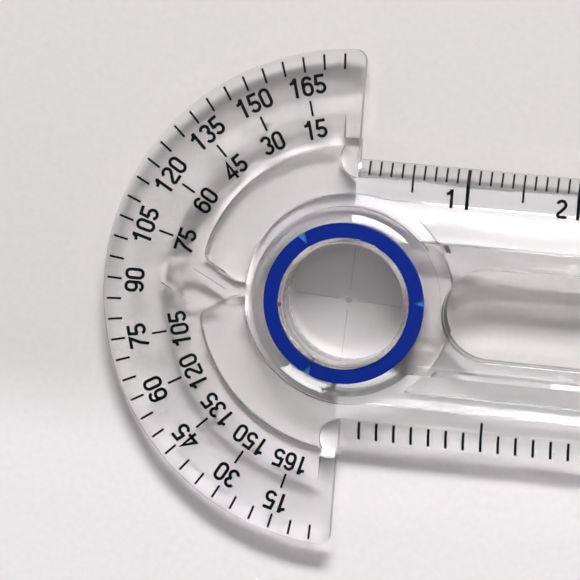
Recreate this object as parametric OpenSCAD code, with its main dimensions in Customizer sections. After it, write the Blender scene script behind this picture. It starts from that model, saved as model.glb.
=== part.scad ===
// Small clear finger goniometer: a half-disc protractor head with a ruler arm,
// and a slimmer arm that turns on the head's hollow collar under a snap ring.
// The turning axis is Z through the origin, the instrument lies on Z = 0,
// and both arms point along +X at rest.

/* [Protractor head] */
// Radius of the half-disc head
head_r = 22.6; // [22.4:0.1:26]
// Rounding of the two tips of the straight edge
tip_r = 1.0; // [0.6:0.1:1.5]
// Radius where the reading bevel of the rim starts
rim_bevel_r = 20.3; // [20.2:0.1:20.4]
// Drop of the reading bevel at the rim
rim_drop = 0.5; // [0.4:0.1:1.0]
// Outer radius of the stiffening ring under the head
ring_out_r = 15.2; // [14.8:0.1:15.6]
// Inner radius of the stiffening ring under the head
ring_in_r = 13.9; // [13.4:0.1:14.2]
// Radius of the hub disc
hub_r = 9.6; // [9.4:0.1:10]
// Depth of the diamond pocket on the 90 degree line
index_depth = 0.6; // [0.3:0.1:0.9]

/* [Ruler arm] */
// Distance from the axis to the end of the ruler arm
arm_length = 127.5; // [90:0.5:160]
// Width of the ruler arm
arm_width = 25.6; // [25:0.1:26]
// Width of the bevel along each ruler edge
edge_bevel_w = 1.3; // [1.2:0.1:1.4]
// Drop of the bevel along each ruler edge
edge_drop = 0.6; // [0.3:0.1:0.8]
// Width over the two ribs under the arm
rib_span = 18.6; // [18:0.1:19]
// Thickness of each rib
rib_w = 1.3; // [1:0.1:1.6]

/* [Moulding thickness] */
// Height of the printed top face above the table
top_z = 2.2; // [2:0.1:2.6]
// Height of the underside of the thin skin above the table
skin_z = 1.0; // [0.8:0.1:1.2]

/* [Moving arm] */
// Distance from the axis to the end of the moving arm
moving_length = 124; // [80:1:150]
// Width of the moving arm
moving_width = 12; // [11:0.1:13]
// Radius of the moving arm's round end
moving_disc_r = 8.6; // [8.2:0.1:9]
// Chamfer along the moving arm's top edges
moving_chamfer = 0.6; // [0.3:0.1:0.7]
// Height of the moving arm's top face
moving_top_z = 3.76; // [3.6:0.02:4]

/* [Reading slot] */
// Where the slot starts, measured from the axis
slot_start = 8.8; // [8.7:0.1:9.2]
// Where the slot ends, measured from the axis
slot_end = 62; // [30:1:75]
// Width of the slot through both arms
slot_width = 8.4; // [7.6:0.1:8.6]

/* [Pivot] */
// Outer radius of the collar that the moving arm turns on
collar_r = 5.93; // [5.8:0.01:6]
// Bore radius of the collar
collar_bore_r = 5.5; // [5.2:0.05:5.6]
// Running clearance round the collar
running_gap = 0.07; // [0.03:0.01:0.1]
// Outer radius of the snap ring
snap_ring_r = 7.27; // [7:0.01:7.6]
// Thickness of the snap ring
snap_ring_t = 0.5; // [0.4:0.05:0.7]
// Thickness of the cross-hair window
window_t = 1.2; // [0.8:0.1:1.6]
// Small turn left in the window when it is pressed in
window_turn = -3; // [-8:1:8]

/* [Printing] */
// Thickness of the printed ink
ink_t = 0.02; // [0.01:0.01:0.05]
// Where the centimetre ruler starts along the arm
cm_zero = 0.12; // [0:0.02:1]
// Where the inch ruler starts along the arm
inch_zero = 0.38; // [0:0.02:1]
// Outer end of the outer row of degree marks
outer_mark_end = 22.25; // [22:0.05:22.3]
// Outer end of the inner row of degree marks
inner_mark_end = 18.3; // [17.8:0.1:18.5]
// Length of every degree mark
degree_mark_length = 1.4; // [1:0.1:1.6]
// Whole centimetres on the ruler
ruler_cm = 12; // [5:1:12]
// Sixteenths of an inch on the ruler
ruler_sixteenths = 78; // [32:1:78]

/* [Hidden] */
$fn = 96;

clear_plastic = [0.86, 0.87, 0.89, 0.45];
ring_blue = [0.03, 0.12, 0.48];
ink_black = [0.04, 0.04, 0.05];

half_arm = arm_width / 2;
half_span = rib_span / 2;
half_panel = half_span - rib_w;
ring_slope_w = 1.7;
edge_band = 1.55;
gusset_r = 1.75;
arm_corner_r = 4;
panel_corner_r = 2;
panel_margin = 3;
slot_r = slot_width / 2;
cut = 0.5;

hub_gap = 0.06;
moving_hub_z = top_z + hub_gap;
moving_arm_gap = 0.3;
moving_arm_z = top_z + moving_arm_gap;
snap_ring_lift = 0.08;
snap_ring_z = moving_top_z + snap_ring_lift;
collar_reach = 0.06;
collar_top_z = snap_ring_z + snap_ring_t + collar_reach;
snap_ring_gap = 0.02;
snap_ring_bore_r = collar_r + snap_ring_gap;
snap_teeth = 6;
snap_tooth_r = 0.22;
snap_tooth_h = 0.2;
snap_tooth_sink = 0.1;
snap_tooth_gap = 0.02;
key_notches = 3;
key_notch_w = 1.1;
key_notch_depth = 0.2;
key_notch_start = 0.25;
ring_turn = 6;
hair_w = 0.1;
hair_depth = 0.05;
hair_start = 0.9;
hair_end = 4.9;
centre_mark_r = 0.3;
window_gap = 0.01;

rim_slope = atan(rim_drop / (head_r - rim_bevel_r));
edge_slope = atan(edge_drop / edge_bevel_w);
bevel_start = half_arm - edge_bevel_w;
inch = 25.4;
mark_w = 0.2;
thin_cm_w = 0.18;
thin_inch_w = 0.24;
thick_mark_w = 0.32;
cm_mark_short = 1.25;
cm_mark_middle = 2.45;
cm_mark_long = 3.55;
inch_mark_short = 1.67;
inch_mark_middle = 2.73;
inch_mark_long = 3.6;
cm_margin = 0.05;
inch_margin = 0.26;

web_half_w = 0.6;
web_flare = [[-10.7, 0.45], [-11.7, 1.4]];
web_foot = [[-13.0, 2.15], [-13.65, 2.5]];
ring_foot_angle = 165.3;
ring_stop_x = 1.34;
ring_end_reach = 4;
gusset_start = 145;
rib_corner_angle = 52;
rib_corner = [[5.3, 0], [6.6, 0]];
index_outer_x = -17.2;
index_mid = [-14.3, 1.55];
index_inner_x = -11.3;

// ---- outline helpers -------------------------------------------------

function arc(c, r, a0, a1, n) =
    [for (i = [0:n]) [c[0] + r * cos(a0 + (a1 - a0) * i / n), c[1] + r * sin(a0 + (a1 - a0) * i / n)]];

// Quadratic curve from p to q, pulled towards c
function curve(p, c, q, n) =
    [for (i = [0:n]) let (t = i / n) (1 - t) * (1 - t) * p + 2 * t * (1 - t) * c + t * t * q];

// ---- fixed arm -------------------------------------------------------

// The revolved half of the head, with the thin scale skin and the thick middle
module head_half() {
    rotate([0, 0, 90])
        rotate_extrude(angle = 180)
            polygon([
                [0, 0],
                [ring_out_r, 0],
                [ring_out_r + ring_slope_w, skin_z],
                [head_r, skin_z],
                [head_r, top_z - rim_drop],
                [rim_bevel_r, top_z],
                [0, top_z]
            ]);
}

// The arm's section: two ruler skins, two ribs and a thick middle
module arm_section() {
    polygon([
        [half_span, 0],
        [half_span, skin_z],
        [half_arm, skin_z],
        [half_arm, top_z - edge_drop],
        [bevel_start, top_z],
        [-bevel_start, top_z],
        [-half_arm, top_z - edge_drop],
        [-half_arm, skin_z],
        [-half_span, skin_z],
        [-half_span, 0]
    ]);
}

module arm_outline() {
    corner_x = arm_length - arm_corner_r;
    corner_y = half_arm - arm_corner_r;
    translate([0, -half_arm])
        square([corner_x, arm_width]);
    translate([0, -corner_y])
        square([arm_length, 2 * corner_y]);
    for (side = [-1, 1])
        translate([corner_x, side * corner_y])
            circle(arm_corner_r);
}

module arm_body() {
    intersection() {
        rotate([90, 0, 90])
            linear_extrude(arm_length)
                arm_section();
        linear_extrude(top_z)
            arm_outline();
    }
}

// Corner that is left over outside the rounded tip of the straight edge
module tip_waste() {
    centre_y = sqrt(pow(head_r - tip_r, 2) - tip_r * tip_r);
    difference() {
        translate([-tip_r, centre_y, -cut])
            cube([tip_r + cut, head_r, top_z + 2 * cut]);
        translate([-tip_r, centre_y, -2 * cut])
            cylinder(r = tip_r, h = top_z + 4 * cut);
    }
}

// One of the two recesses under the head, between hub disc, ring and web
module head_recess() {
    ring_end = acos(-ring_stop_x / ring_in_r);
    web_start = 180 - asin(web_half_w / hub_r);
    web_root = hub_r * [cos(web_start), sin(web_start)];
    ring_foot = ring_in_r * [cos(ring_foot_angle), sin(ring_foot_angle)];
    outline = concat(
        arc([0, 0], ring_in_r, ring_foot_angle, ring_end, 30),
        arc([0, half_arm], gusset_r, gusset_start, 270, 16),
        arc([0, 0], hub_r, 90, web_start, 36),
        curve(web_root, web_flare[0], web_flare[1], 8),
        curve(web_foot[0], web_foot[1], ring_foot, 8)
    );
    translate([0, 0, -cut])
        linear_extrude(skin_z + cut)
            polygon(outline);
}

// Recess under the arm between the ribs, with its start round the hub disc
module arm_recess() {
    far_x = arm_length - panel_margin;
    corner = far_x - panel_corner_r;
    hub_point = hub_r * [cos(rib_corner_angle), sin(rib_corner_angle)];
    rib_side = [0, half_panel];
    upper = concat(
        arc([0, 0], hub_r, 0, rib_corner_angle, 16),
        curve(hub_point, rib_corner[0] + rib_side, rib_corner[1] + rib_side, 6),
        arc([corner, half_panel - panel_corner_r], panel_corner_r, 90, 0, 8)
    );
    for (side = [0, 1])
        mirror([0, side, 0])
            translate([0, 0, -cut])
                linear_extrude(skin_z + cut)
                    polygon(concat(upper, [[far_x, -cut], [hub_r, -cut]]));
}

// Long slot with round ends
module slot_cutter(z0, z1) {
    first_x = slot_start + slot_r;
    last_x = slot_end - slot_r;
    translate([0, 0, z0]) {
        translate([first_x, -slot_r, 0])
            cube([last_x - first_x, slot_width, z1 - z0]);
        for (x = [first_x, last_x])
            translate([x, 0, 0])
                cylinder(r = slot_r, h = z1 - z0);
    }
}

// Diamond-shaped index pocket sunk in the top face on the 90 degree line
module index_pocket() {
    translate([0, 0, top_z - index_depth])
        linear_extrude(index_depth + cut)
            polygon([
                [index_outer_x, 0],
                index_mid,
                [index_inner_x, 0],
                [index_mid[0], -index_mid[1]]
            ]);
}

// The stiffening ring stops short of the straight edge
module ring_end_cut() {
    for (side = [-1, 1])
        translate([-edge_band, side > 0 ? half_arm + gusset_r : -half_arm - gusset_r - ring_end_reach, -cut])
            cube([edge_band + cut, ring_end_reach, skin_z + cut]);
}

module collar() {
    translate([0, 0, top_z - cut])
        cylinder(r = collar_r, h = collar_top_z - top_z + cut);
}

// Teeth that keep the snap ring down
module snap_teeth() {
    for (i = [0:snap_teeth - 1])
        rotate([0, 0, ring_turn + i * 360 / snap_teeth])
            translate([collar_r - snap_tooth_sink, 0, snap_ring_z + snap_ring_t + snap_tooth_gap])
                cylinder(r = snap_tooth_r, h = snap_tooth_h);
}

module fixed_arm() {
    color(clear_plastic)
        difference() {
            union() {
                head_half();
                arm_body();
                cylinder(r = hub_r, h = top_z);
                collar();
                snap_teeth();
            }
            for (side = [0, 1])
                mirror([0, side, 0]) {
                    head_recess();
                    tip_waste();
                }
            arm_recess();
            ring_end_cut();
            index_pocket();
            slot_cutter(-cut, top_z + cut);
            translate([0, 0, -cut])
                cylinder(r = collar_bore_r, h = collar_top_z + 2 * cut);
        }
}

// ---- moving arm ------------------------------------------------------

module moving_section() {
    half = moving_width / 2;
    shoulder = moving_top_z - moving_chamfer;
    polygon([
        [-half, moving_arm_z],
        [half, moving_arm_z],
        [half, shoulder],
        [half - moving_chamfer, moving_top_z],
        [-half + moving_chamfer, moving_top_z],
        [-half, shoulder]
    ]);
}

// Round slab with a chamfered top edge
module chamfered_disc(r, z0) {
    shoulder = moving_top_z - moving_chamfer;
    translate([0, 0, z0])
        cylinder(r = r, h = shoulder - z0);
    translate([0, 0, shoulder])
        cylinder(r1 = r, r2 = r - moving_chamfer, h = moving_chamfer);
}

module moving_arm() {
    half = moving_width / 2;
    color(clear_plastic)
        difference() {
            union() {
                chamfered_disc(moving_disc_r, moving_hub_z);
                rotate([90, 0, 90])
                    linear_extrude(moving_length - half)
                        moving_section();
                translate([moving_length - half, 0, 0])
                    chamfered_disc(half, moving_arm_z);
            }
            slot_cutter(moving_hub_z - cut, moving_top_z + cut);
            translate([0, 0, moving_hub_z - cut])
                cylinder(r = collar_r + running_gap, h = moving_top_z);
        }
}

// ---- pivot pieces ----------------------------------------------------

module snap_ring() {
    ring_top = snap_ring_z + snap_ring_t;
    color(ring_blue)
        difference() {
            translate([0, 0, snap_ring_z])
                cylinder(r = snap_ring_r, h = snap_ring_t);
            translate([0, 0, snap_ring_z - cut])
                cylinder(r = snap_ring_bore_r, h = snap_ring_t + 2 * cut);
            for (i = [0:key_notches - 1])
                rotate([0, 0, ring_turn + i * 360 / key_notches])
                    translate([0, 0, ring_top - key_notch_depth])
                        linear_extrude(key_notch_depth + cut)
                            polygon([
                                [snap_ring_bore_r + key_notch_start, 0],
                                [snap_ring_r + cut, key_notch_w / 2],
                                [snap_ring_r + cut, -key_notch_w / 2]
                            ]);
        }
}

module axis_window() {
    color(clear_plastic)
        difference() {
            cylinder(r = collar_bore_r - window_gap, h = window_t);
            rotate([0, 0, window_turn]) {
                for (a = [0:90:270])
                    rotate([0, 0, a])
                        translate([hair_start, -hair_w / 2, window_t - hair_depth])
                            cube([hair_end - hair_start, hair_w, cut]);
                translate([0, 0, window_t - hair_depth])
                    cylinder(r = centre_mark_r, h = cut);
            }
        }
}

// ---- printed marks ---------------------------------------------------

// Radial mark on the head at a scale reading, flat or lying on the rim bevel
module degree_mark(reading, end_r, slope) {
    start_r = end_r - degree_mark_length;
    drop = slope > 0 ? (start_r - rim_bevel_r) * tan(slope) : 0;
    rotate([0, 0, 270 - reading])
        translate([start_r, 0, top_z - drop])
            rotate([0, slope, 0])
                translate([0, -mark_w / 2, 0])
                    cube([degree_mark_length / cos(slope), mark_w, ink_t]);
}

module outer_degree_marks() {
    color(ink_black)
        for (reading = [5:5:175])
            degree_mark(reading, outer_mark_end, rim_slope);
}

module inner_degree_marks() {
    color(ink_black)
        for (reading = [15:15:165])
            if (reading != 90)
                degree_mark(reading, inner_mark_end, 0);
}

// Ruler mark from near the edge inwards, over the bevel and the flat
module ruler_mark(x, side, outer_y, length, w) {
    bevel_length = outer_y - bevel_start;
    flat_length = length - bevel_length;
    mirror([0, side > 0 ? 0 : 1, 0]) {
        translate([x - w / 2, bevel_start, top_z])
            rotate([-edge_slope, 0, 0])
                cube([w, bevel_length / cos(edge_slope), ink_t]);
        if (flat_length > 0)
            translate([x - w / 2, bevel_start - flat_length, top_z])
                cube([w, flat_length, ink_t]);
    }
}

module centimetre_marks() {
    color(ink_black)
        for (mm = [1:ruler_cm * 10 + 3]) {
            length = mm % 10 == 0 ? cm_mark_long : mm % 5 == 0 ? cm_mark_middle : cm_mark_short;
            w = mm % 10 == 0 ? thick_mark_w : thin_cm_w;
            ruler_mark(cm_zero + mm, 1, half_arm - cm_margin, length, w);
        }
}

module inch_marks() {
    color(ink_black)
        for (k = [1:ruler_sixteenths]) {
            length = k % 16 == 0 ? inch_mark_long : k % 8 == 0 ? inch_mark_middle : inch_mark_short;
            w = k % 16 == 0 ? thick_mark_w : thin_inch_w;
            ruler_mark(inch_zero + k * inch / 16, -1, half_arm - inch_margin, length, w);
        }
}

fixed_arm();
moving_arm();
snap_ring();
axis_window();
outer_degree_marks();
inner_degree_marks();
centimetre_marks();
inch_marks();
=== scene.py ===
"""Clear finger goniometer: a half-disc protractor head with a ruler arm, a slotted
moving arm on the head's hollow collar, a blue snap ring and a cross-hair window."""

import math

import bmesh
import bpy
from bpy.props import FloatProperty, FloatVectorProperty, PointerProperty
from mathutils import Matrix, Vector


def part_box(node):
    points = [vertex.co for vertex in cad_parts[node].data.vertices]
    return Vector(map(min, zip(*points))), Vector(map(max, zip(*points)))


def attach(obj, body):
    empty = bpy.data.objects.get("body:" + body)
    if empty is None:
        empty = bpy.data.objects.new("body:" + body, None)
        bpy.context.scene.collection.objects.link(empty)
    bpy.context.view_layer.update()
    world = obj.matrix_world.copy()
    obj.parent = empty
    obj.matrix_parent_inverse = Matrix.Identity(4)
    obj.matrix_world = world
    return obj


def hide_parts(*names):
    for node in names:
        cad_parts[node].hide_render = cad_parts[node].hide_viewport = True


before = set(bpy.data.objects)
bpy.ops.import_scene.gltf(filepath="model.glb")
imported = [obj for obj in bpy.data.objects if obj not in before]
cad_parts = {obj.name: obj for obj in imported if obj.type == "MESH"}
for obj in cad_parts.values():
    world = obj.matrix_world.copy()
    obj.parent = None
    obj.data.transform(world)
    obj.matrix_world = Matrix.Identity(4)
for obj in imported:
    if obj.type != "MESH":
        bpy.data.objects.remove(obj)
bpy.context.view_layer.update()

bl_info = {
    "name": "Clear Finger Goniometer",
    "version": (1, 0, 0),
    "blender": (4, 5, 0),
    "location": "View3D > Sidebar > Goniometer",
    "description": "Builds a clear moulded goniometer with printed scales and a blue snap ring",
    "category": "Object",
}

MM = 0.001
INCH = 25.4 * MM
HEAD_BODY = "protractor_body"
ARM_BODY = "moving_body"

# ---- clear mouldings and pivot ----------------------------------------------

FLAT_FACE_AREA = 3e-6  # square metres: a bigger face than this is shaded exactly flat
MERGE_DISTANCE = 1e-7
LEVEL_ANGLE = math.radians(0.5)
BEVELLED_ANGLE = math.radians(25)
SHARP_ANGLE = math.radians(40)
WINDOW_ROUNDING = 0.02 * MM
NOTCH_DEPTH = 0.2 * MM
HAIR_DEPTH = 0.05 * MM
SUNK_PARTS = (0.3, 1.3)  # a sunk face lies between these parts of its stated depth
INSIDE_EDGE = 0.99  # and inside this part of the object's reach, off its rounded edge
LEVEL = 0.99  # a level face's normal has at least this much of Z
RECESS_FLOOR = 0.5 * MM  # the undersides above this height are frosted
BELOW_ALL = -1 * MM
MOULD_RIPPLE = 0.006 * MM
FROST_RIPPLE = 0.01 * MM
WINDOW_RIPPLE = 0.004 * MM
RING_RIPPLE = 0.004 * MM
DUST_COLOR = (0.35, 0.34, 0.34)

# ---- printed scales ---------------------------------------------------------

INK = 0.02 * MM  # thickness of the print
THIN_INK_COLOR = (0.02, 0.02, 0.022)
PRINT_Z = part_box("inner_degree_marks")[0].z
RIM_BEVEL_R = 20.3 * MM
RIM_SLOPE = math.atan(0.5 / 2.3)  # the rim's fall over its run
OUTER_MARK_END = 22.25 * MM
INNER_MARK_END = 18.3 * MM
DEGREE_MARK_LENGTH = 1.4 * MM
SHORTEST_MARK = 0.01 * MM
INNER_DIGIT_SCALE = 0.96
HALF_ARM = 12.8 * MM
RULER_BEVEL_RUN = 1.3 * MM
RULER_SLOPE = math.atan(0.6 / 1.3)
THICK_MARK_WIDTH = 0.32 * MM
CM_MARK_END = HALF_ARM - 0.05 * MM
CM_ZERO = 0.12 * MM
CM_NUMBER_Y = 10.08 * MM
CM_NUMBER_BACK = 1.5 * MM  # how far a number's middle stands before its mark
CM_WIDE_NUMBER_BACK = 2.1 * MM
INCH_MARK_END = HALF_ARM - 0.26 * MM
INCH_ZERO = 0.38 * MM
INCH_NUMBER_Y = -9.75 * MM
INCH_NUMBER_BACK = 1.4 * MM

# ---- stage ------------------------------------------------------------------

PAPER_HALF_SIZE = 2.0
PAPER_Z = -0.02 * MM
PAPER_GRAIN_DEPTH = 0.01 * MM
# Painted shade: the paper colour darkens along this direction between the two heights below. It
# stands in for the sheet lying in shade towards the upper tip.
SHADE_DIRECTION = (0, 1, 0)  # the sheet darkens along this direction
SHADE_FULL_Y = -7 * MM
SHADE_END_Y = -17 * MM
DARK_CEILING = Vector((-0.155, -0.135, 0.98))
DARK_CEILING_CORE = math.radians(14)
DARK_CEILING_EDGE = math.radians(38)
KEY_PLACE = (0.03, 0.24, 0.66)
KEY_SIZE = (0.16, 0.16)
WINDOW_PLACE = (0.06, 0.677, 0.441)
WINDOW_SIZE = (0.4, 0.12)
CEILING_LAMP_XY = (-0.057, -0.0586)
CEILING_LAMP_SIZE = (0.074, 0.015)
SECOND_CEILING_LAMP_XY = (-0.05, -0.104)
SECOND_CEILING_LAMP_SIZE = (0.09, 0.013)
CEILING_Z = 0.6
CAMERA_TURN = (0.1191, -0.1799, -0.0761)
CAMERA_OFFSET = (-5.524, 0.7176, 362.28)  # millimetres, in the camera's own axes
SENSOR_WIDTH = 36


# ---- settings ---------------------------------------------------------------


class ClearPlasticSettings(bpy.types.PropertyGroup):
    """The clear plastic of both arms and the window"""

    tint: FloatVectorProperty(
        name="Tint", description="Colour the clear moulding takes away", subtype="COLOR",
        size=3, min=0, max=1, default=(0.99, 0.988, 0.992))
    refraction: FloatProperty(
        name="Refraction", description="Index of refraction of the moulding",
        default=1.49, min=1.3, max=1.7)
    rounding: FloatProperty(
        name="Edge rounding", description="Radius left on the moulded edges",
        default=0.11 * MM, min=0, unit="LENGTH")


class PivotSettings(bpy.types.PropertyGroup):
    """The blue snap ring"""

    ring_color: FloatVectorProperty(
        name="Ring colour", description="Colour of the snap ring", subtype="COLOR",
        size=3, min=0, max=1, default=(0.001, 0.0155, 0.2))
    notch_color: FloatVectorProperty(
        name="Notch colour", description="Paler blue of the scuffed key notches",
        subtype="COLOR", size=3, min=0, max=1, default=(0.03, 0.15, 0.46))
    ring_rounding: FloatProperty(
        name="Ring rounding", description="Radius on the snap ring's edges",
        default=0.1 * MM, min=0, unit="LENGTH")


class PrintSettings(bpy.types.PropertyGroup):
    """The printed scales and numbers"""

    ink_color: FloatVectorProperty(
        name="Ink", description="Colour of the printed scales", subtype="COLOR",
        size=3, min=0, max=1, default=(0.002, 0.002, 0.003))
    degree_digit_height: FloatProperty(
        name="Degree digit height", description="Height of the numbers on the head",
        default=1.83 * MM, min=0, unit="LENGTH")
    ruler_digit_height: FloatProperty(
        name="Ruler digit height", description="Height of the numbers on the rulers",
        default=1.72 * MM, min=0, unit="LENGTH")
    outer_number_radius: FloatProperty(
        name="Outer number radius", description="Radius of the outer row of numbers",
        default=19.62 * MM, min=0, unit="LENGTH")
    inner_number_radius: FloatProperty(
        name="Inner number radius", description="Radius of the inner row of numbers",
        default=15.68 * MM, min=0, unit="LENGTH")
    mark_width: FloatProperty(
        name="Mark width", description="Width of the marks on the head",
        default=0.2 * MM, min=0, unit="LENGTH")


class StageSettings(bpy.types.PropertyGroup):
    """The paper, the lamps and the camera"""

    paper_color: FloatVectorProperty(
        name="Paper", description="Colour of the sheet under the object", subtype="COLOR",
        size=3, min=0, max=1, default=(0.86, 0.82, 0.83))
    # Painted shade: the paper's colour where the painted shade is full, darker than the lit paper
    # below the head.
    paper_far_color: FloatVectorProperty(
        name="Far paper", description="Colour of the sheet past the upper tip", subtype="COLOR",
        size=3, min=0, max=1, default=(0.68, 0.645, 0.645))
    key_power: FloatProperty(
        name="Key light", description="Power of the soft lamp high above the upper tip",
        default=0.8, min=0, unit="POWER")
    window_power: FloatProperty(
        name="Window light", description="Power of the wide low lamp past the upper tip",
        default=8.4, min=0, unit="POWER")
    ceiling_power: FloatProperty(
        name="Ceiling lamp", description="Power of the small lamp mirrored by the ruler arm",
        default=0.034, min=0, unit="POWER")
    second_ceiling_power: FloatProperty(
        name="Second ceiling lamp",
        description="Power of the small lamp mirrored by the moving arm",
        default=0.0154, min=0, unit="POWER")
    world_strength: FloatProperty(
        name="Room light", description="Strength of the light from the whole room",
        default=0.3, min=0)
    lens: FloatProperty(
        name="Lens", description="Focal length of the camera in millimetres",
        default=248.3, min=20, max=400)


# ---- mesh helpers -----------------------------------------------------------


def new_object(name, mesh):
    obj = bpy.data.objects.new(name, mesh)
    bpy.context.scene.collection.objects.link(obj)
    return obj


def object_from_bmesh(name, bm):
    mesh = bpy.data.meshes.new(name)
    bm.to_mesh(mesh)
    bm.free()
    return new_object(name, mesh)


def baked(obj):
    """Turns an object with modifiers into a plain mesh of the same name."""
    depsgraph = bpy.context.evaluated_depsgraph_get()
    mesh = bpy.data.meshes.new_from_object(obj.evaluated_get(depsgraph))
    name = obj.name
    bpy.data.objects.remove(obj)
    mesh.name = name
    return new_object(name, mesh)


def flatten_big_faces(obj):
    """Keeps the shading of every big flat face exactly flat up to its corners."""
    mesh = obj.data
    normals = [corner.vector.copy() for corner in mesh.corner_normals]
    for face in mesh.polygons:
        if face.area > FLAT_FACE_AREA:
            for loop in face.loop_indices:
                normals[loop] = face.normal.copy()
    mesh.normals_split_custom_set(normals)


def rounded_copy(cad, name, radius, segments=2):
    """A merged copy of a CAD node's mesh with its edges rounded."""
    bm = bmesh.new()
    bm.from_mesh(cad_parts[cad].data)
    bmesh.ops.remove_doubles(bm, verts=bm.verts, dist=MERGE_DISTANCE)
    bmesh.ops.dissolve_limit(bm, angle_limit=LEVEL_ANGLE, verts=bm.verts, edges=bm.edges)
    obj = object_from_bmesh(name, bm)
    obj.data.materials.clear()
    bevel = obj.modifiers.new("round edges", "BEVEL")
    bevel.width = radius
    bevel.segments = segments
    bevel.limit_method = "ANGLE"
    bevel.angle_limit = BEVELLED_ANGLE
    obj = baked(obj)
    obj.data.polygons.foreach_set("use_smooth", [True] * len(obj.data.polygons))
    obj.data.set_sharp_from_angle(angle=SHARP_ANGLE)
    level = obj.modifiers.new("level faces", "WEIGHTED_NORMAL")
    level.keep_sharp = True
    obj = baked(obj)
    flatten_big_faces(obj)
    return obj


def paint_faces(obj, material, chosen):
    """Gives the faces for which a test holds their own material."""
    obj.data.materials.append(material)
    for face in obj.data.polygons:
        if chosen(face):
            face.material_index = len(obj.data.materials) - 1


def paint_sunk_faces(obj, material, depth, tilt=0.9):
    """Paints the upward faces sunk below an object's flat top by about a depth."""
    top = max(vertex.co.z for vertex in obj.data.vertices)
    reach = INSIDE_EDGE * max(vertex.co.xy.length for vertex in obj.data.vertices)
    least, most = (part * depth for part in SUNK_PARTS)
    paint_faces(obj, material, lambda face: (
        face.center.xy.length < reach and face.normal.z > tilt
        and least < top - face.center.z < most))


def paint_underside(obj, material, lowest):
    """Paints the level undersides that lie higher than a height."""
    paint_faces(obj, material, lambda face: face.normal.z < -LEVEL and face.center.z > lowest)


# ---- shader helpers ---------------------------------------------------------


def node(tree, kind, x=0, y=0, inputs=None, **values):
    """A new node with its place in the editor, its input values and its settings."""
    item = tree.nodes.new(kind)
    item.location = (x, y)
    for key, value in values.items():
        setattr(item, key, value)
    for key, value in (inputs or {}).items():
        item.inputs[key].default_value = value
    return item


def new_group(name, inputs, outputs, kind="ShaderNodeTree"):
    """A new node group: inputs hold a name, a socket type and a default, outputs the first two."""
    tree = bpy.data.node_groups.new(name, kind)
    for title, socket, default in inputs:
        item = tree.interface.new_socket(name=title, in_out="INPUT", socket_type=socket)
        if default is not None:
            item.default_value = default
    for title, socket in outputs:
        tree.interface.new_socket(name=title, in_out="OUTPUT", socket_type=socket)
    return tree


def new_material(name):
    """A new material, its node tree and its shader."""
    material = bpy.data.materials.new(name)
    material.use_nodes = True
    return material, material.node_tree, material.node_tree.nodes["Principled BSDF"]


def add_bump(tree, shader, height, distance):
    """Lets a height output bump the shader's normal."""
    bump = node(tree, "ShaderNodeBump", -250, -200, {"Distance": distance})
    tree.links.new(height, bump.inputs["Height"])
    tree.links.new(bump.outputs["Normal"], shader.inputs["Normal"])


def handling_wear_group():
    """Fine scratches, a slow ripple of the moulded face and small specks of dust."""
    name = "Handling wear"
    if name in bpy.data.node_groups:
        return bpy.data.node_groups[name]
    tree = new_group(
        name,
        [
            ("Scratch scale", "NodeSocketFloat", 300.0),
            ("Ripple scale", "NodeSocketFloat", 90.0),
            ("Dust scale", "NodeSocketFloat", 260.0),
            ("Base roughness", "NodeSocketFloat", 0.02),
        ],
        [
            ("Height", "NodeSocketFloat"),
            ("Roughness", "NodeSocketFloat"),
            ("Dust", "NodeSocketFloat"),
        ],
    )
    links = tree.links
    given = node(tree, "NodeGroupInput", -1100)
    out = node(tree, "NodeGroupOutput", 700)
    place = node(tree, "ShaderNodeTexCoord", -1100, -300)
    turn = node(tree, "ShaderNodeMapping", -900, 200,
                {"Rotation": (0, 0, math.radians(35)), "Scale": (1.0, 0.06, 1.0)})
    links.new(place.outputs["Object"], turn.inputs["Vector"])
    scratch = node(tree, "ShaderNodeTexNoise", -650, 250, {"Detail": 2.0})
    links.new(turn.outputs["Vector"], scratch.inputs["Vector"])
    links.new(given.outputs["Scratch scale"], scratch.inputs["Scale"])
    thin = node(tree, "ShaderNodeMapRange", -400, 250, {"From Min": 0.62, "From Max": 0.72})
    links.new(scratch.outputs["Fac"], thin.inputs["Value"])
    ripple = node(tree, "ShaderNodeTexNoise", -650, -50, {"Detail": 1.0})
    links.new(place.outputs["Object"], ripple.inputs["Vector"])
    links.new(given.outputs["Ripple scale"], ripple.inputs["Scale"])
    sink = node(tree, "ShaderNodeMath", -150, 150, {1: -0.006}, operation="MULTIPLY")
    links.new(thin.outputs["Result"], sink.inputs[0])
    height = node(tree, "ShaderNodeMath", 50, 50, operation="ADD")
    links.new(sink.outputs["Value"], height.inputs[0])
    links.new(ripple.outputs["Fac"], height.inputs[1])
    links.new(height.outputs["Value"], out.inputs["Height"])
    rough = node(tree, "ShaderNodeMath", 50, -150, {1: 0.08}, operation="MULTIPLY_ADD")
    links.new(thin.outputs["Result"], rough.inputs[0])
    links.new(given.outputs["Base roughness"], rough.inputs[2])
    links.new(rough.outputs["Value"], out.inputs["Roughness"])
    specks = node(tree, "ShaderNodeTexVoronoi", -650, -350, feature="F1")
    links.new(place.outputs["Object"], specks.inputs["Vector"])
    links.new(given.outputs["Dust scale"], specks.inputs["Scale"])
    size = node(tree, "ShaderNodeSeparateColor", -450, -500)
    links.new(specks.outputs["Color"], size.inputs["Color"])
    few = node(tree, "ShaderNodeMapRange", -250, -500, {"From Min": 0.75, "To Max": 0.022})
    links.new(size.outputs["Red"], few.inputs["Value"])
    near = node(tree, "ShaderNodeMath", -50, -400, operation="LESS_THAN")
    links.new(specks.outputs["Distance"], near.inputs[0])
    links.new(few.outputs["Result"], near.inputs[1])
    links.new(near.outputs["Value"], out.inputs["Dust"])
    return tree


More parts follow.
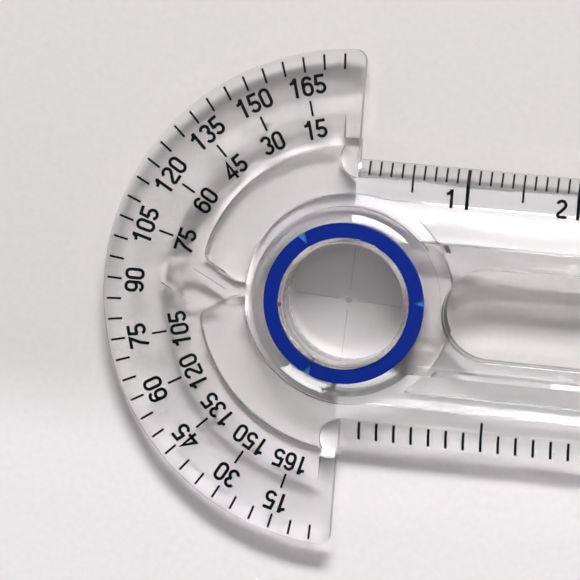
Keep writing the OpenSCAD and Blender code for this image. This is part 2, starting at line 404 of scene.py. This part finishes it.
def add_wear(tree, shader, base_roughness, ripple_depth):
    """Gives a shader the worn roughness and normal, and returns the wear group's node."""
    wear = node(tree, "ShaderNodeGroup", -500)
    wear.node_tree = handling_wear_group()
    wear.inputs["Base roughness"].default_value = base_roughness
    tree.links.new(wear.outputs["Roughness"], shader.inputs["Roughness"])
    add_bump(tree, shader, wear.outputs["Height"], ripple_depth)
    return wear


def clear_material(name, ripple_depth, base_roughness=0.01, tint=1.0):
    """Clear moulded plastic with fine scratches and a little dust."""
    plastic = bpy.context.scene.clear_plastic
    material, tree, shader = new_material(name)
    shader.inputs["IOR"].default_value = plastic.refraction
    shader.inputs["Transmission Weight"].default_value = 1.0
    shader.inputs["Metallic"].default_value = 0.0
    wear = add_wear(tree, shader, base_roughness, ripple_depth)
    dusty = node(tree, "ShaderNodeMix", -250, 200, data_type="RGBA")
    dusty.inputs["A"].default_value = (*(tint * c for c in plastic.tint), 1)
    dusty.inputs["B"].default_value = (*DUST_COLOR, 1)
    tree.links.new(wear.outputs["Dust"], dusty.inputs["Factor"])
    tree.links.new(dusty.outputs["Result"], shader.inputs["Base Color"])
    return material


def ring_material(name, color):
    """Solid blue moulding, slightly uneven in colour and gloss."""
    material, tree, shader = new_material(name)
    shader.inputs["IOR"].default_value = 1.5
    shader.inputs["Specular IOR Level"].default_value = 0.2
    add_wear(tree, shader, base_roughness=0.32, ripple_depth=RING_RIPPLE)
    place = node(tree, "ShaderNodeTexCoord", -750, 300)
    patch = node(tree, "ShaderNodeTexNoise", -500, 300, {"Scale": 700.0})
    blend = node(tree, "ShaderNodeMix", -250, 200, data_type="RGBA")
    blend.inputs["A"].default_value = (*color, 1)
    blend.inputs["B"].default_value = (*(min(1.0, c * 1.25) for c in color), 1)
    tree.links.new(place.outputs["Object"], patch.inputs["Vector"])
    tree.links.new(patch.outputs["Fac"], blend.inputs["Factor"])
    tree.links.new(blend.outputs["Result"], shader.inputs["Base Color"])
    return material


def ink_material():
    """Printed black ink, slightly uneven in gloss and density."""
    name = "black ink"
    if name in bpy.data.materials:
        return bpy.data.materials[name]
    ink = bpy.context.scene.scale_print
    material, tree, shader = new_material(name)
    links = tree.links
    shader.inputs["Specular IOR Level"].default_value = 0.15
    place = node(tree, "ShaderNodeTexCoord", -900)
    grain = node(tree, "ShaderNodeTexNoise", -700, 0, {"Scale": 9000.0, "Detail": 3.0})
    links.new(place.outputs["Object"], grain.inputs["Vector"])
    thin = node(tree, "ShaderNodeMapRange", -500, 0,
                {"From Min": 0.55, "From Max": 0.9, "To Max": 0.35})
    links.new(grain.outputs["Fac"], thin.inputs["Value"])
    tone = node(tree, "ShaderNodeMix", -250, 150, data_type="RGBA")
    tone.inputs["A"].default_value = (*ink.ink_color, 1)
    tone.inputs["B"].default_value = (*THIN_INK_COLOR, 1)
    links.new(thin.outputs["Result"], tone.inputs["Factor"])
    links.new(tone.outputs["Result"], shader.inputs["Base Color"])
    rough = node(tree, "ShaderNodeMapRange", -250, -150, {"To Min": 0.45, "To Max": 0.7})
    links.new(grain.outputs["Fac"], rough.inputs["Value"])
    links.new(rough.outputs["Result"], shader.inputs["Roughness"])
    return material


# ---- printed marks by geometry nodes ----------------------------------------


class NodeDesk:
    """Shorthand for wiring a geometry node tree."""

    def __init__(self, tree):
        self.tree = tree
        self.given = tree.nodes.new("NodeGroupInput")

    def value(self, socket_or_number, socket):
        if hasattr(socket_or_number, "links"):
            self.tree.links.new(socket_or_number, socket)
        else:
            socket.default_value = socket_or_number

    def math(self, operation, *values):
        item = self.tree.nodes.new("ShaderNodeMath")
        item.operation = operation
        for value, socket in zip(values, item.inputs):
            self.value(value, socket)
        return item.outputs[0]

    def switch(self, condition, no, yes):
        item = self.tree.nodes.new("GeometryNodeSwitch")
        item.input_type = "FLOAT"
        self.value(condition, item.inputs["Switch"])
        self.value(no, item.inputs["False"])
        self.value(yes, item.inputs["True"])
        return item.outputs["Output"]

    def vector(self, x, y, z):
        item = self.tree.nodes.new("ShaderNodeCombineXYZ")
        for value, socket in zip((x, y, z), item.inputs):
            self.value(value, socket)
        return item.outputs["Vector"]

    def points(self, count, places):
        line = self.tree.nodes.new("GeometryNodeMeshLine")
        self.value(count, line.inputs["Count"])
        place = self.tree.nodes.new("GeometryNodeSetPosition")
        self.tree.links.new(line.outputs["Mesh"], place.inputs["Geometry"])
        self.value(places, place.inputs["Position"])
        return place.outputs["Geometry"]

    def boxes(self, points, turn, size, keep=None):
        cube = self.tree.nodes.new("GeometryNodeMeshCube")
        cube.inputs["Size"].default_value = (1, 1, 1)
        put = self.tree.nodes.new("GeometryNodeInstanceOnPoints")
        self.tree.links.new(points, put.inputs["Points"])
        self.tree.links.new(cube.outputs["Mesh"], put.inputs["Instance"])
        self.value(turn, put.inputs["Rotation"])
        self.value(size, put.inputs["Scale"])
        if keep is not None:
            self.value(keep, put.inputs["Selection"])
        return put.outputs["Instances"]

    def finish(self, instances):
        join = self.tree.nodes.new("GeometryNodeJoinGeometry")
        for item in instances:
            self.tree.links.new(item, join.inputs["Geometry"])
        real = self.tree.nodes.new("GeometryNodeRealizeInstances")
        self.tree.links.new(join.outputs["Geometry"], real.inputs["Geometry"])
        paint = self.tree.nodes.new("GeometryNodeSetMaterial")
        self.tree.links.new(real.outputs["Geometry"], paint.inputs["Geometry"])
        self.tree.links.new(self.given.outputs["Ink"], paint.inputs["Material"])
        out = self.tree.nodes.new("NodeGroupOutput")
        self.tree.links.new(paint.outputs["Geometry"], out.inputs["Geometry"])


def degree_marks_tree():
    """Radial marks at equal steps of a reading, lying level or down the rim bevel."""
    name = "Degree marks"
    if name in bpy.data.node_groups:
        return bpy.data.node_groups[name]
    tree = new_group(
        name,
        [
            ("Count", "NodeSocketInt", 35),
            ("Step", "NodeSocketFloat", 5.0),
            ("Left out", "NodeSocketFloat", -1.0),
            ("Inner radius", "NodeSocketFloat", 0.02),
            ("Outer radius", "NodeSocketFloat", 0.022),
            ("Slope", "NodeSocketFloat", 0.0),
            ("Inner height", "NodeSocketFloat", 0.002),
            ("Width", "NodeSocketFloat", 0.0002),
            ("Thickness", "NodeSocketFloat", 0.00002),
            ("Ink", "NodeSocketMaterial", None),
        ],
        [("Geometry", "NodeSocketGeometry")],
        kind="GeometryNodeTree",
    )
    desk = NodeDesk(tree)
    given = desk.given.outputs
    index = tree.nodes.new("GeometryNodeInputIndex").outputs["Index"]
    reading = desk.math("MULTIPLY", desk.math("ADD", index, 1.0), given["Step"])
    angle = desk.math("RADIANS", desk.math("SUBTRACT", 270.0, reading))
    run = desk.math("SUBTRACT", given["Outer radius"], given["Inner radius"])
    middle = desk.math("ADD", given["Inner radius"], desk.math("MULTIPLY", run, 0.5))
    drop = desk.math("MULTIPLY", desk.math("MULTIPLY", run, 0.5),
                     desk.math("TANGENT", given["Slope"]))
    half_ink = desk.math("MULTIPLY", given["Thickness"], 0.5)
    level = desk.math("ADD", desk.math("SUBTRACT", given["Inner height"], drop), half_ink)
    places = desk.vector(
        desk.math("MULTIPLY", middle, desk.math("COSINE", angle)),
        desk.math("MULTIPLY", middle, desk.math("SINE", angle)),
        level,
    )
    turn = desk.vector(0.0, given["Slope"], angle)
    length = desk.math("DIVIDE", run, desk.math("COSINE", given["Slope"]))
    size = desk.vector(length, given["Width"], given["Thickness"])
    off = desk.math("ABSOLUTE", desk.math("SUBTRACT", reading, given["Left out"]))
    keep = desk.math("GREATER_THAN", off, 0.5)
    points = desk.points(given["Count"], places)
    desk.finish([desk.boxes(points, turn, size, keep)])
    return tree


def ruler_marks_tree():
    """Marks across a ruler edge: a part down the bevel and a part on the flat."""
    name = "Ruler marks"
    if name in bpy.data.node_groups:
        return bpy.data.node_groups[name]
    tree = new_group(
        name,
        [
            ("Count", "NodeSocketInt", 120),
            ("Zero", "NodeSocketFloat", 0.0),
            ("Spacing", "NodeSocketFloat", 0.001),
            ("Middle every", "NodeSocketFloat", 5.0),
            ("Long every", "NodeSocketFloat", 10.0),
            ("Short length", "NodeSocketFloat", 0.001),
            ("Middle length", "NodeSocketFloat", 0.002),
            ("Long length", "NodeSocketFloat", 0.003),
            ("Thin width", "NodeSocketFloat", 0.0001),
            ("Thick width", "NodeSocketFloat", 0.0003),
            ("Outer end", "NodeSocketFloat", 0.0125),
            ("Bevel start", "NodeSocketFloat", 0.0114),
            ("Bevel slope", "NodeSocketFloat", 0.4),
            ("Face height", "NodeSocketFloat", 0.002),
            ("Side", "NodeSocketFloat", 1.0),
            ("Thickness", "NodeSocketFloat", 0.00002),
            ("Ink", "NodeSocketMaterial", None),
        ],
        [("Geometry", "NodeSocketGeometry")],
        kind="GeometryNodeTree",
    )
    desk = NodeDesk(tree)
    given = desk.given.outputs
    index = tree.nodes.new("GeometryNodeInputIndex").outputs["Index"]
    number = desk.math("ADD", index, 1.0)
    x = desk.math("ADD", given["Zero"], desk.math("MULTIPLY", number, given["Spacing"]))

    def falls_on(every):
        left = desk.math("FLOORED_MODULO", desk.math("ADD", number, 0.5), every)
        return desk.math("LESS_THAN", left, 1.0)

    on_long = falls_on(given["Long every"])
    on_middle = falls_on(given["Middle every"])
    length = desk.switch(on_middle, given["Short length"], given["Middle length"])
    length = desk.switch(on_long, length, given["Long length"])
    width = desk.switch(on_long, given["Thin width"], given["Thick width"])
    side = given["Side"]
    half_ink = desk.math("MULTIPLY", given["Thickness"], 0.5)

    bevel_run = desk.math("SUBTRACT", given["Outer end"], given["Bevel start"])
    bevel_mid = desk.math("ADD", given["Bevel start"], desk.math("MULTIPLY", bevel_run, 0.5))
    fall = desk.math("MULTIPLY", desk.math("MULTIPLY", bevel_run, 0.5),
                     desk.math("TANGENT", given["Bevel slope"]))
    bevel_z = desk.math("ADD", desk.math("SUBTRACT", given["Face height"], fall), half_ink)
    bevel_points = desk.points(
        given["Count"], desk.vector(x, desk.math("MULTIPLY", side, bevel_mid), bevel_z))
    bevel_turn = desk.vector(
        desk.math("MULTIPLY", desk.math("MULTIPLY", side, given["Bevel slope"]), -1.0), 0.0, 0.0)
    bevel_length = desk.math("DIVIDE", bevel_run, desk.math("COSINE", given["Bevel slope"]))
    bevel_boxes = desk.boxes(
        bevel_points, bevel_turn, desk.vector(width, bevel_length, given["Thickness"]))

    flat_run = desk.math("SUBTRACT", length, bevel_run)
    flat_mid = desk.math("SUBTRACT", given["Bevel start"], desk.math("MULTIPLY", flat_run, 0.5))
    flat_z = desk.math("ADD", given["Face height"], half_ink)
    flat_points = desk.points(
        given["Count"], desk.vector(x, desk.math("MULTIPLY", side, flat_mid), flat_z))
    has_flat = desk.math("GREATER_THAN", flat_run, SHORTEST_MARK)
    flat_boxes = desk.boxes(
        flat_points, desk.vector(0.0, 0.0, 0.0),
        desk.vector(width, flat_run, given["Thickness"]), has_flat)
    desk.finish([bevel_boxes, flat_boxes])
    return tree


def marks_from_tree(name, tree, values):
    """A plain mesh of printed marks made by a node tree with the given inputs."""
    obj = new_object(name, bpy.data.meshes.new(name))
    modifier = obj.modifiers.new("marks", "NODES")
    modifier.node_group = tree
    sockets = {
        item.name: item.identifier for item in tree.interface.items_tree
        if item.item_type == "SOCKET" and item.in_out == "INPUT"}
    for title, value in values.items():
        modifier[sockets[title]] = value
    modifier[sockets["Ink"]] = ink_material()
    obj = baked(obj)
    if not obj.data.polygons:
        raise RuntimeError(name + " came out empty")
    return obj


# ---- printed numbers --------------------------------------------------------

# Each digit is one unit high. DIGITS holds the centre lines of its strokes, which are
# straight pieces and round bows.
STROKE = 0.16
STROKE_LIFT = 0.05  # each further stroke of a digit lies this part of the ink higher
SHARPEST_MITRE = 0.4
BOW_R = (1 - STROKE) / 4
DIGIT_W = 2 * BOW_R + STROKE
DIGIT_PITCH = DIGIT_W + 0.055
LEFT = STROKE / 2
RIGHT = DIGIT_W - STROKE / 2
TOP = 1 - STROKE / 2
MIDDLE = DIGIT_W / 2
LOW = STROKE / 2 + BOW_R
HIGH = 1 - LOW


def bow(x, y, radius, start, stop):
    """Points along a round stroke, with its angles in degrees."""
    count = max(3, int(abs(stop - start) / 12))
    angles = [math.radians(start + (stop - start) * i / count) for i in range(count + 1)]
    return [(x + radius * math.cos(a), y + radius * math.sin(a)) for a in angles]


SIX = (bow(MIDDLE, HIGH, BOW_R, 18, 180) + bow(MIDDLE, LOW, BOW_R, 180, 360)
       + bow(MIDDLE, LOW + 0.12, BOW_R, 0, 172))
DIGITS = {
    "0": [bow(MIDDLE, HIGH, BOW_R, 0, 180) + bow(MIDDLE, LOW, BOW_R, 180, 360)
          + [(RIGHT, HIGH)]],
    "1": [[(0.345, 0), (0.345, 1)], [(0.07, 0.735), (0.2, 0.765), (0.29, 0.86), (0.32, 0.97)]],
    "2": [bow(MIDDLE, HIGH, BOW_R, 168, -32) + [(LEFT + 0.02, 0.22), (LEFT, STROKE / 2)],
          [(LEFT, STROKE / 2), (DIGIT_W, STROKE / 2)]],
    "3": [bow(MIDDLE, HIGH + 0.01, BOW_R - 0.01, 165, -90),
          bow(MIDDLE, LOW, BOW_R, 90, -165)],
    "4": [[(0.385, 0), (0.385, TOP), (0.04, 0.28), (DIGIT_W, 0.28)]],
    "5": [[(DIGIT_W - 0.04, TOP), (0.13, TOP), (0.075, 0.47)],
          bow(MIDDLE - 0.01, LOW + 0.04, BOW_R + 0.01, 140, -160)],
    "6": [SIX],
    "7": [[(0, TOP), (DIGIT_W - 0.04, TOP), (0.27, 0.45), (0.15, 0)]],
    "8": [bow(MIDDLE, HIGH + 0.015, BOW_R - 0.02, 0, 360), bow(MIDDLE, LOW, BOW_R, 0, 360)],
    "9": [[(DIGIT_W - x, 1 - y) for x, y in SIX]],
}


def stroke_outline(line, width):
    """Left and right edge points of a flat stroke drawn along a line."""
    left, right = [], []
    for i, (x, y) in enumerate(line):
        before = Vector(line[max(0, i - 1)])
        after = Vector(line[min(len(line) - 1, i + 1)])
        here = Vector((x, y))
        first = (here - before).normalized() if i else (after - here).normalized()
        second = (after - here).normalized() if i < len(line) - 1 else first
        along = (first + second).normalized()
        side = Vector((-along.y, along.x))
        reach = width / 2 / max(SHARPEST_MITRE, side.dot(Vector((-first.y, first.x))))
        left.append(here + side * reach)
        right.append(here - side * reach)
    return left, right


def add_stroke(bm, line, spot, level):
    """A closed flat ribbon of ink along a line, set in place by a matrix."""
    left, right = stroke_outline(line, STROKE)
    rails = [[bm.verts.new(spot @ Vector((p.x, p.y, z))) for p in rail]
             for z in (level, level + 1) for rail in (left, right)]
    for i in range(len(line) - 1):
        for a, b in ((0, 1), (1, 3), (3, 2), (2, 0)):
            bm.faces.new((rails[a][i], rails[a][i + 1], rails[b][i + 1], rails[b][i]))
    for i in (0, len(line) - 1):
        bm.faces.new([rails[k][i] for k in (0, 1, 3, 2)])


def add_number(bm, text, x, y, turn, height):
    """One number centred on a place, its top turned away from -Y by the turn."""
    width = (len(text) - 1) * DIGIT_PITCH + DIGIT_W
    spot = (Matrix.Translation((x, y, PRINT_Z)) @ Matrix.Rotation(turn, 4, "Z")
            @ Matrix.Diagonal((height, height, INK, 1))
            @ Matrix.Translation((-width / 2, -0.5, 0)))
    for i, digit in enumerate(text):
        for k, line in enumerate(DIGITS[digit]):
            shifted = [(px + i * DIGIT_PITCH, py) for px, py in line]
            add_stroke(bm, shifted, spot, STROKE_LIFT * k)


def numbers_object(name, places):
    """All the numbers of one scale: places holds text, x, y, turn and height."""
    bm = bmesh.new()
    for place in places:
        add_number(bm, *place)
    bmesh.ops.recalc_face_normals(bm, faces=bm.faces)
    obj = object_from_bmesh(name, bm)
    obj.data.materials.append(ink_material())
    return obj


# ---- paper, room, lamps and camera ------------------------------------------


def make_paper(stage):
    """A large sheet of paper with painted shade: its colour darkens from the lower to the upper
    side of the head.
    """
    bm = bmesh.new()
    bmesh.ops.create_grid(bm, x_segments=1, y_segments=1, size=PAPER_HALF_SIZE)
    bmesh.ops.translate(bm, verts=bm.verts, vec=(0, 0, PAPER_Z))
    paper = object_from_bmesh("paper_floor", bm)
    material, tree, shader = new_material("paper")
    links = tree.links
    shader.inputs["Roughness"].default_value = 0.9
    shader.inputs["Specular IOR Level"].default_value = 0.2
    place = node(tree, "ShaderNodeTexCoord", -900)
    grain = node(tree, "ShaderNodeTexNoise", -700, 0, {"Scale": 1600.0, "Detail": 4.0})
    links.new(place.outputs["Object"], grain.inputs["Vector"])
    across = node(tree, "ShaderNodeVectorMath", -700, 300, {1: SHADE_DIRECTION},
                  operation="DOT_PRODUCT")
    links.new(place.outputs["Object"], across.inputs[0])
    near = node(tree, "ShaderNodeMapRange", -500, 300,
                {"From Min": SHADE_FULL_Y, "From Max": SHADE_END_Y},
                interpolation_type="SMOOTHSTEP")
    links.new(across.outputs["Value"], near.inputs["Value"])
    # Painted shade: the shaded paper colour blends into the lit paper colour down the sheet.
    sheet = node(tree, "ShaderNodeMix", -300, 300, data_type="RGBA")
    sheet.inputs["A"].default_value = (*stage.paper_far_color, 1)
    sheet.inputs["B"].default_value = (*stage.paper_color, 1)
    links.new(near.outputs["Result"], sheet.inputs["Factor"])
    mottle = node(tree, "ShaderNodeMapRange", -300, 0, {"To Min": 0.95, "To Max": 1.05})
    links.new(grain.outputs["Fac"], mottle.inputs["Value"])
    tone = node(tree, "ShaderNodeVectorMath", -100, 150, operation="MULTIPLY")
    links.new(sheet.outputs["Result"], tone.inputs[0])
    links.new(mottle.outputs["Result"], tone.inputs[1])
    links.new(tone.outputs["Vector"], shader.inputs["Base Color"])
    add_bump(tree, shader, grain.outputs["Fac"], PAPER_GRAIN_DEPTH)
    paper.data.materials.append(material)
    return paper


def make_world(stage):
    """A grey room, paler upwards, with a dark patch of ceiling that the level faces mirror."""
    world = bpy.data.worlds.new("studio room")
    bpy.context.scene.world = world
    world.use_nodes = True
    tree = world.node_tree
    links = tree.links
    back = tree.nodes["Background"]
    back.inputs["Strength"].default_value = stage.world_strength
    place = node(tree, "ShaderNodeTexCoord", -1100)
    axes = node(tree, "ShaderNodeSeparateXYZ", -700)
    links.new(place.outputs["Generated"], axes.inputs["Vector"])
    ramp = node(tree, "ShaderNodeMapRange", -500, 0,
                {"From Min": 0.1, "From Max": 0.8, "To Min": 0.35, "To Max": 1.0})
    links.new(axes.outputs["Z"], ramp.inputs["Value"])
    near = node(tree, "ShaderNodeVectorMath", -700, -300, {1: DARK_CEILING.normalized()},
                operation="DOT_PRODUCT")
    links.new(place.outputs["Generated"], near.inputs[0])
    hole = node(tree, "ShaderNodeMapRange", -500, -300,
                {"From Min": math.cos(DARK_CEILING_EDGE), "From Max": math.cos(DARK_CEILING_CORE),
                 "To Min": 1.0, "To Max": 0.05},
                interpolation_type="SMOOTHSTEP")
    links.new(near.outputs["Value"], hole.inputs["Value"])
    both = node(tree, "ShaderNodeMath", -300, operation="MULTIPLY")
    links.new(ramp.outputs["Result"], both.inputs[0])
    links.new(hole.outputs["Result"], both.inputs[1])
    links.new(both.outputs["Value"], back.inputs["Color"])


def area_lamp(name, place, aim, size, power):
    """A rectangular lamp that faces a point."""
    data = bpy.data.lights.new(name, "AREA")
    data.shape = "RECTANGLE"
    data.size, data.size_y = size
    data.energy = power
    lamp = new_object(name, data)
    place = Vector(place)
    lamp.matrix_world = Matrix.Translation(place) @ (
        (Vector(aim) - place).to_track_quat("-Z", "Y").to_matrix().to_4x4())


def make_lamps(stage):
    """The two lamps past the upper tip, and two small ones that the arms mirror."""
    area_lamp("key_softbox", KEY_PLACE, (0, 0, 0), KEY_SIZE, stage.key_power)
    area_lamp("window_light", WINDOW_PLACE, (0, 0, 0), WINDOW_SIZE, stage.window_power)
    for name, (x, y), size, power in (
        ("ceiling_lamp", CEILING_LAMP_XY, CEILING_LAMP_SIZE, stage.ceiling_power),
        ("second_ceiling_lamp", SECOND_CEILING_LAMP_XY, SECOND_CEILING_LAMP_SIZE,
         stage.second_ceiling_power),
    ):
        area_lamp(name, (x, y, CEILING_Z), (x, y, 0), size, power)


def make_camera(stage):
    """A long lens above the head, looking a little aslant."""
    data = bpy.data.cameras.new("camera")
    data.lens = stage.lens
    data.sensor_width = SENSOR_WIDTH
    data.clip_start = 0.01
    camera = new_object("camera", data)
    turn_x, turn_y, turn_z = (
        Matrix.Rotation(angle, 3, axis) for angle, axis in zip(CAMERA_TURN, "XYZ"))
    back = (turn_x @ turn_y @ turn_z).transposed()
    place = back @ Vector(CAMERA_OFFSET) * MM
    camera.matrix_world = Matrix.Translation(place) @ back.to_4x4()
    bpy.context.scene.camera = camera


# ---- operators --------------------------------------------------------------


class GONIOMETER_OT_clear_mouldings(bpy.types.Operator):
    """Make the fixed arm and the moving arm as clear mouldings with rounded edges"""

    bl_idname = "goniometer.clear_mouldings"
    bl_label = "Clear mouldings"

    def execute(self, context):
        plastic = context.scene.clear_plastic
        fixed = rounded_copy("fixed_arm", "clear_fixed_arm", plastic.rounding)
        fixed.data.materials.append(clear_material("clear fixed moulding", MOULD_RIPPLE))
        frost = clear_material("frosted underside", FROST_RIPPLE, base_roughness=0.24)
        paint_underside(fixed, frost, RECESS_FLOOR)
        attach(fixed, HEAD_BODY)
        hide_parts("fixed_arm")
        moving = rounded_copy("moving_arm", "clear_moving_arm", plastic.rounding)
        moving.data.materials.append(clear_material("clear moving moulding", MOULD_RIPPLE))
        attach(moving, ARM_BODY)
        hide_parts("moving_arm")
        return {"FINISHED"}


class GONIOMETER_OT_pivot_pieces(bpy.types.Operator):
    """Make the blue snap ring and the cross-hair window on the axis"""

    bl_idname = "goniometer.pivot_pieces"
    bl_label = "Pivot pieces"

    def execute(self, context):
        pivot = context.scene.pivot_pieces
        ring = rounded_copy("snap_ring", "blue_snap_ring", pivot.ring_rounding, segments=3)
        ring.data.materials.append(ring_material("blue snap ring", pivot.ring_color))
        scuffed = ring_material("scuffed key notch", pivot.notch_color)
        paint_sunk_faces(ring, scuffed, NOTCH_DEPTH)
        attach(ring, HEAD_BODY)
        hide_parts("snap_ring")
        window = rounded_copy("axis_window", "cross_hair_window", WINDOW_ROUNDING)
        window.data.materials.append(clear_material("clear window", WINDOW_RIPPLE, tint=0.95))
        hair = clear_material("etched hair line", WINDOW_RIPPLE, base_roughness=0.45, tint=0.55)
        paint_sunk_faces(window, hair, HAIR_DEPTH, tilt=0.2)
        frost = clear_material("frosted window", WINDOW_RIPPLE, base_roughness=0.4, tint=0.95)
        paint_underside(window, frost, BELOW_ALL)
        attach(window, HEAD_BODY)
        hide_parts("axis_window")
        return {"FINISHED"}


class GONIOMETER_OT_degree_marks(bpy.types.Operator):
    """Print both rows of degree marks on the head"""

    bl_idname = "goniometer.degree_marks"
    bl_label = "Degree marks"

    def execute(self, context):
        width = context.scene.scale_print.mark_width
        start = OUTER_MARK_END - DEGREE_MARK_LENGTH
        bevel_drop = (start - RIM_BEVEL_R) * math.tan(RIM_SLOPE)
        outer = marks_from_tree("printed_outer_degree_marks", degree_marks_tree(), {
            "Count": 35, "Step": 5.0, "Inner radius": start, "Outer radius": OUTER_MARK_END,
            "Slope": RIM_SLOPE, "Inner height": PRINT_Z - bevel_drop,
            "Width": width, "Thickness": INK})
        inner = marks_from_tree("printed_inner_degree_marks", degree_marks_tree(), {
            "Count": 11, "Step": 15.0, "Left out": 90.0,
            "Inner radius": INNER_MARK_END - DEGREE_MARK_LENGTH, "Outer radius": INNER_MARK_END,
            "Inner height": PRINT_Z, "Width": width, "Thickness": INK})
        for obj, cad in ((outer, "outer_degree_marks"), (inner, "inner_degree_marks")):
            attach(obj, HEAD_BODY)
            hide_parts(cad)
        return {"FINISHED"}


class GONIOMETER_OT_ruler_marks(bpy.types.Operator):
    """Print the centimetre ruler and the inch ruler along the fixed arm"""

    bl_idname = "goniometer.ruler_marks"
    bl_label = "Ruler marks"

    def execute(self, context):
        shared = {
            "Thick width": THICK_MARK_WIDTH, "Bevel start": HALF_ARM - RULER_BEVEL_RUN,
            "Bevel slope": RULER_SLOPE, "Face height": PRINT_Z, "Thickness": INK}
        centimetres = marks_from_tree("printed_centimetre_marks", ruler_marks_tree(), {
            "Count": 123, "Zero": CM_ZERO, "Spacing": 1 * MM,
            "Middle every": 5.0, "Long every": 10.0,
            "Short length": 1.25 * MM, "Middle length": 2.45 * MM, "Long length": 3.55 * MM,
            "Thin width": 0.18 * MM, "Outer end": CM_MARK_END, "Side": 1.0, **shared})
        inches = marks_from_tree("printed_inch_marks", ruler_marks_tree(), {
            "Count": 78, "Zero": INCH_ZERO, "Spacing": INCH / 16,
            "Middle every": 8.0, "Long every": 16.0,
            "Short length": 1.67 * MM, "Middle length": 2.73 * MM, "Long length": 3.6 * MM,
            "Thin width": 0.24 * MM, "Outer end": INCH_MARK_END, "Side": -1.0, **shared})
        for obj, cad in ((centimetres, "centimetre_marks"), (inches, "inch_marks")):
            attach(obj, HEAD_BODY)
            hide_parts(cad)
        return {"FINISHED"}


class GONIOMETER_OT_numbers(bpy.types.Operator):
    """Print the numbers of the two degree scales and the two rulers"""

    bl_idname = "goniometer.numbers"
    bl_label = "Numbers"

    def execute(self, context):
        ink = context.scene.scale_print
        outer_high = ink.degree_digit_height
        inner_high = INNER_DIGIT_SCALE * outer_high
        outer, inner = [], []
        for reading in range(15, 180, 15):
            angle = math.radians(270 - reading)
            x, y, turn = math.cos(angle), math.sin(angle), angle - math.pi / 2
            r = ink.outer_number_radius
            outer.append((str(reading), r * x, r * y, turn, outer_high))
            if reading != 90:
                r = ink.inner_number_radius
                inner.append((str(180 - reading), r * x, r * y, turn, inner_high))
        ruler_high = ink.ruler_digit_height
        centimetres = [
            (str(n), CM_ZERO + n * 10 * MM - (CM_NUMBER_BACK if n < 10 else CM_WIDE_NUMBER_BACK),
             CM_NUMBER_Y, 0, ruler_high)
            for n in range(1, 13)]
        inches = [
            (str(n), INCH_ZERO + n * INCH - INCH_NUMBER_BACK, INCH_NUMBER_Y, math.pi, ruler_high)
            for n in range(1, 5)]
        for name, places in (
            ("printed_outer_degree_numbers", outer), ("printed_inner_degree_numbers", inner),
            ("printed_centimetre_numbers", centimetres), ("printed_inch_numbers", inches),
        ):
            obj = numbers_object(name, places)
            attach(obj, HEAD_BODY)
        return {"FINISHED"}


class GONIOMETER_OT_stage(bpy.types.Operator):
    """Lay the sheet of paper, hang the lamps and set the camera"""

    bl_idname = "goniometer.stage"
    bl_label = "Stage"

    def execute(self, context):
        scene = context.scene
        stage = scene.studio_stage
        paper = make_paper(stage)
        make_world(stage)
        make_lamps(stage)
        make_camera(stage)
        scene.view_settings.view_transform = "Standard"
        scene.cycles.max_bounces = 16
        scene.cycles.blur_glossy = 0.0
        scene.cycles.sample_clamp_indirect = 0.0
        scene.cycles.transmission_bounces = 14
        scene.cycles.transparent_max_bounces = 16
        return {"FINISHED"}


# ---- panel and registration -------------------------------------------------

OPERATORS = (
    GONIOMETER_OT_clear_mouldings,
    GONIOMETER_OT_pivot_pieces,
    GONIOMETER_OT_degree_marks,
    GONIOMETER_OT_ruler_marks,
    GONIOMETER_OT_numbers,
    GONIOMETER_OT_stage,
)
SETTINGS = (
    ("clear_plastic", ClearPlasticSettings),
    ("pivot_pieces", PivotSettings),
    ("scale_print", PrintSettings),
    ("studio_stage", StageSettings),
)


class GONIOMETER_PT_panel(bpy.types.Panel):
    """Lists the goniometer's settings and the operators that build it"""

    bl_idname = "GONIOMETER_PT_panel"
    bl_label = "Goniometer"
    bl_space_type = "VIEW_3D"
    bl_region_type = "UI"
    bl_category = "Goniometer"

    def draw(self, context):
        for name, group in SETTINGS:
            box = self.layout.box()
            for key in group.__annotations__:
                box.prop(getattr(context.scene, name), key)
        for operator in OPERATORS:
            self.layout.operator(operator.bl_idname)


def register():
    for name, group in SETTINGS:
        bpy.utils.register_class(group)
        setattr(bpy.types.Scene, name, PointerProperty(type=group))
    for cls in (*OPERATORS, GONIOMETER_PT_panel):
        bpy.utils.register_class(cls)


def unregister():
    for cls in reversed((*OPERATORS, GONIOMETER_PT_panel)):
        bpy.utils.unregister_class(cls)
    for name, group in reversed(SETTINGS):
        delattr(bpy.types.Scene, name)
        bpy.utils.unregister_class(group)


def main():
    register()
    bpy.ops.goniometer.clear_mouldings()
    bpy.ops.goniometer.pivot_pieces()
    bpy.ops.goniometer.degree_marks()
    bpy.ops.goniometer.ruler_marks()
    bpy.ops.goniometer.numbers()
    bpy.ops.goniometer.stage()


if __name__ == "__main__":
    main()
